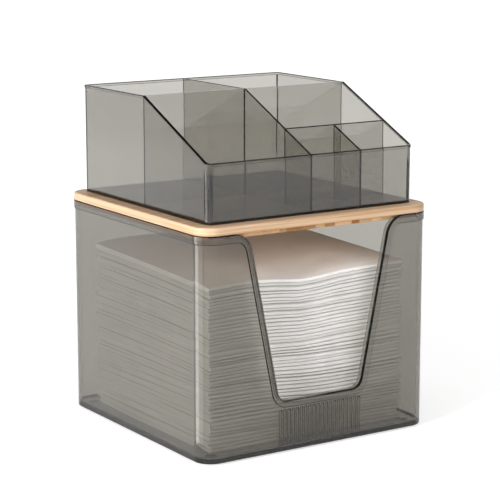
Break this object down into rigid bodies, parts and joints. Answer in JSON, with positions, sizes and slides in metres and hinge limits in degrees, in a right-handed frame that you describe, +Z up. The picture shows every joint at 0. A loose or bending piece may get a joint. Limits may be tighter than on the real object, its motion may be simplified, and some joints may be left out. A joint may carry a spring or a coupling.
{
  "type": "facial towel dispenser",
  "caption": "Smoke-clear box for folded facial towels with an open front window, a bamboo lift-off lid and a divided sloped tray on top.",
  "frame": {"origin": "centre of the overall box at the level of the pads' undersides", "axes": "+X to the right seen from the front, +Y to the back, +Z up; the window is in the -Y wall"},
  "size_m": [0.2016, 0.2016, 0.2555],
  "materials": {
    "smoke_plastic": "polished, see-through smoke grey",
    "clear_pad": "soft clear silicone",
    "bamboo": "satin oiled laminated bamboo",
    "bamboo_core": "satin bamboo end grain",
    "towel_cloth": "soft undyed non-woven cotton"
  },
  "bodies": {
    "bin": {"bin_shell": "smoke_plastic", "pad_front_left": "clear_pad", "pad_front_right": "clear_pad", "pad_rear_left": "clear_pad", "pad_rear_right": "clear_pad", "towel_stack": "towel_cloth"},
    "lid": {"lid_board": "bamboo", "lid_core": "bamboo_core"},
    "organiser": {"tray": "smoke_plastic", "rear_divider": "smoke_plastic", "long_divider": "smoke_plastic", "mid_divider": "smoke_plastic", "short_divider": "smoke_plastic"},
    "towel": {"top_towel": "towel_cloth"}
  },
  "joints": [
    {"name": "lid_lift", "type": "slide", "parent": "bin", "child": "lid", "axis": [0, 0, 1], "range_m": [0, 0.15]},
    {"name": "tray_lift", "type": "slide", "parent": "lid", "child": "organiser", "axis": [0, 0, 1], "range_m": [0, 0.12]},
    {"name": "towel_draw", "type": "slide", "parent": "bin", "child": "towel", "axis": [0, -1, 0], "range_m": [0, 0.19], "deforming": ["top_towel"]}
  ]
}
